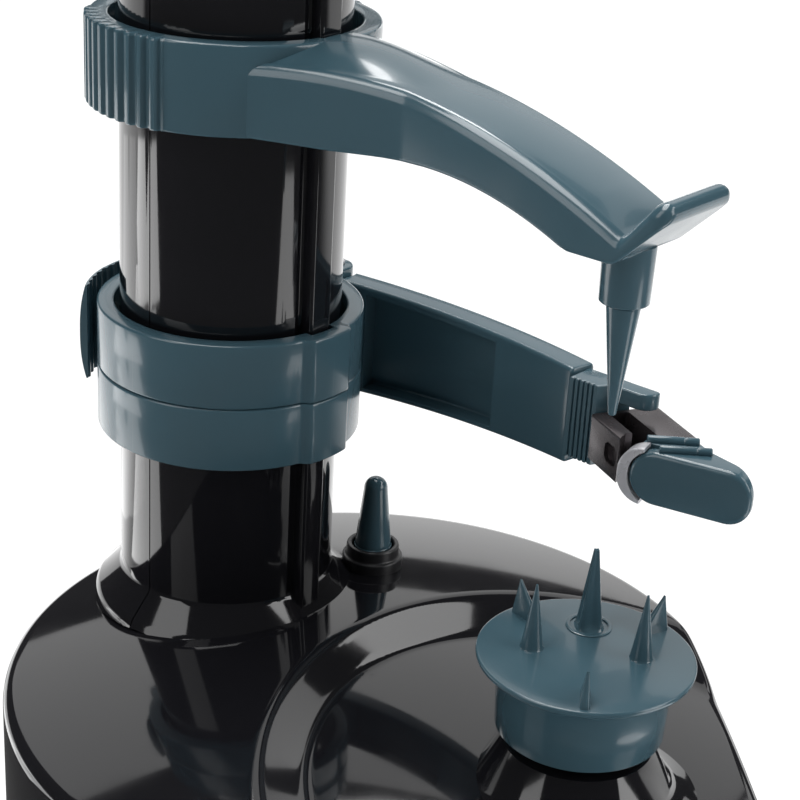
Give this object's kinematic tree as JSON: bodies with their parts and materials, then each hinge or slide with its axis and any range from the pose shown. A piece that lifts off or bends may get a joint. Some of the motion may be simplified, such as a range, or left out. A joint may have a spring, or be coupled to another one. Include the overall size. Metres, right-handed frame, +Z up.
{
  "type": "electric fruit peeler",
  "caption": "Electric fruit peeler: domed base with a spiked turntable, round column with a lead screw, a sliding top arm with a free pin and a spring-loaded blade arm.",
  "frame": {"origin": "centre of the base's main circle, on the underside of the base plate", "axes": "+Z up along the column, +Y from the base's centre towards the column, +X towards the side that carries the blade arm"},
  "size_m": [0.158, 0.1782, 0.2828],
  "materials": {
    "black_gloss": "gloss",
    "teal_gloss": "gloss",
    "steel": "satin",
    "dark_steel": "satin",
    "rubber": "matte",
    "nylon": "matte",
    "brass": "satin",
    "cell_sleeve": "gloss"
  },
  "bodies": {
    "base": {"base_cover": "black_gloss", "base_plate": "black_gloss", "battery_cell_1": "cell_sleeve", "battery_cell_2": "cell_sleeve", "battery_cell_3": "cell_sleeve", "battery_cell_4": "cell_sleeve", "contact_strip_left": "steel", "contact_strip_right": "steel", "foot_1": "rubber", "foot_2": "rubber", "foot_3": "rubber", "foot_4": "rubber", "base_screw_1": "steel", "base_screw_2": "steel", "base_screw_3": "steel", "base_screw_4": "steel", "dc_jack": "rubber", "front_idler_axle": "steel", "rear_idler_axle": "steel", "layshaft_axle": "steel", "step_gear_axle": "steel", "motor": "steel", "gear_plate": "nylon", "spindle_bush": "brass", "column_front": "black_gloss", "column_rear": "black_gloss", "column_cap": "black_gloss", "screw_bush": "brass", "button_collar": "rubber", "start_switch": "rubber"},
    "turntable": {"turntable": "teal_gloss", "spindle": "steel", "spindle_gear": "nylon"},
    "front_idler": {"front_idler_gear": "nylon"},
    "layshaft": {"layshaft_gear": "nylon"},
    "rear_idler": {"rear_idler_gear": "nylon"},
    "screw": {"lead_screw": "steel", "screw_gear": "nylon"},
    "step": {"step_gear": "nylon"},
    "rotor": {"motor_pinion": "brass"},
    "battery_door": {"battery_door": "black_gloss"},
    "top_arm": {"top_arm": "teal_gloss", "friction_pad": "rubber"},
    "top_pin": {"top_pin": "teal_gloss", "pin_clip": "steel"},
    "carriage": {"carriage_lower": "teal_gloss", "carriage_upper": "teal_gloss", "lever_pin": "steel", "arm_pin": "steel"},
    "half_nut": {"half_nut": "nylon"},
    "release_lever": {"release_lever": "teal_gloss"},
    "blade_arm": {"blade_arm": "teal_gloss", "arm_spring": "steel", "blade_clip": "teal_gloss"},
    "blade_head": {"blade_yoke": "dark_steel", "guide_shoe": "teal_gloss", "peeling_blade": "steel", "blade_holder": "teal_gloss"},
    "start_button": {"start_button": "teal_gloss"}
  },
  "joints": [
    {"name": "turntable_spin", "type": "hinge", "parent": "base", "child": "turntable", "pos_m": [0, -0.0546, 0.04], "axis": [0, 0, 1], "continuous": true},
    {"name": "front_idler_spin", "type": "hinge", "parent": "base", "child": "front_idler", "pos_m": [0.01264, -0.02744, 0.006], "axis": [0, 0, 1], "continuous": true},
    {"name": "layshaft_spin", "type": "hinge", "parent": "base", "child": "layshaft", "pos_m": [0.02402, -0.003, 0.01], "axis": [0, 0, 1], "continuous": true},
    {"name": "rear_idler_spin", "type": "hinge", "parent": "base", "child": "rear_idler", "pos_m": [0.01237, 0.02008, 0.01], "axis": [0, 0, 1], "continuous": true},
    {"name": "screw_spin", "type": "hinge", "parent": "base", "child": "screw", "pos_m": [0, 0.0446, 0.01], "axis": [0, 0, 1], "continuous": true},
    {"name": "step_gear_spin", "type": "hinge", "parent": "base", "child": "step", "pos_m": [0.044, -0.00403, 0.014], "axis": [0, 0, 1], "continuous": true},
    {"name": "rotor_spin", "type": "hinge", "parent": "base", "child": "rotor", "pos_m": [0.05001, -0.03302, 0.014], "axis": [0, 0, 1], "continuous": true},
    {"name": "battery_door_slide", "type": "slide", "parent": "base", "child": "battery_door", "axis": [0, 0, 1], "range_m": [-0.012, 0]},
    {"name": "top_arm_slide", "type": "slide", "parent": "base", "child": "top_arm", "axis": [0, 0, 1], "range_m": [0, 0.085]},
    {"name": "top_pin_spin", "type": "hinge", "parent": "top_arm", "child": "top_pin", "pos_m": [0, -0.0546, 0.14], "axis": [0, 0, 1], "continuous": true},
    {"name": "carriage_slide", "type": "slide", "parent": "base", "child": "carriage", "axis": [0, 0, 1], "range_m": [-0.0165, 0.042]},
    {"name": "release_lever_swing", "type": "hinge", "parent": "carriage", "child": "release_lever", "pos_m": [0.013, 0.0758, 0.1], "axis": [0, 0, -1], "range_deg": [0, 6], "stiffness_Nm_per_rad": 0.06, "springref_deg": -5.73},
    {"name": "half_nut_slide", "type": "slide", "parent": "carriage", "child": "half_nut", "axis": [0, 1, 0], "range_m": [0, 0.0014]},
    {"name": "blade_arm_swing", "type": "hinge", "parent": "carriage", "child": "blade_arm", "pos_m": [0.0338, 0.0446, 0.1], "axis": [0, 0, 1], "range_deg": [0, 40], "stiffness_Nm_per_rad": 0.02, "springref_deg": -20.05},
    {"name": "blade_head_swivel", "type": "hinge", "parent": "blade_arm", "child": "blade_head", "pos_m": [0.0309, -0.03596, 0.099], "axis": [0.4695, 0.8829, 0], "range_deg": [-8, 8], "stiffness_Nm_per_rad": 0.01},
    {"name": "start_button_press", "type": "slide", "parent": "base", "child": "start_button", "axis": [0, 0, 1], "range_m": [-0.0025, 0], "stiffness_N_per_m": 300}
  ],
  "couplings": [
    {"joint": "front_idler_spin", "follows": "turntable_spin", "ratio": -1.5},
    {"joint": "layshaft_spin", "follows": "turntable_spin", "ratio": 1.2},
    {"joint": "rear_idler_spin", "follows": "turntable_spin", "ratio": -1.5429},
    {"joint": "screw_spin", "follows": "turntable_spin", "ratio": 1.08},
    {"joint": "step_gear_spin", "follows": "turntable_spin", "ratio": -2.7},
    {"joint": "rotor_spin", "follows": "turntable_spin", "ratio": 9.45},
    {"joint": "half_nut_slide", "follows": "release_lever_swing", "m_per_rad": 0.013}
  ]
}
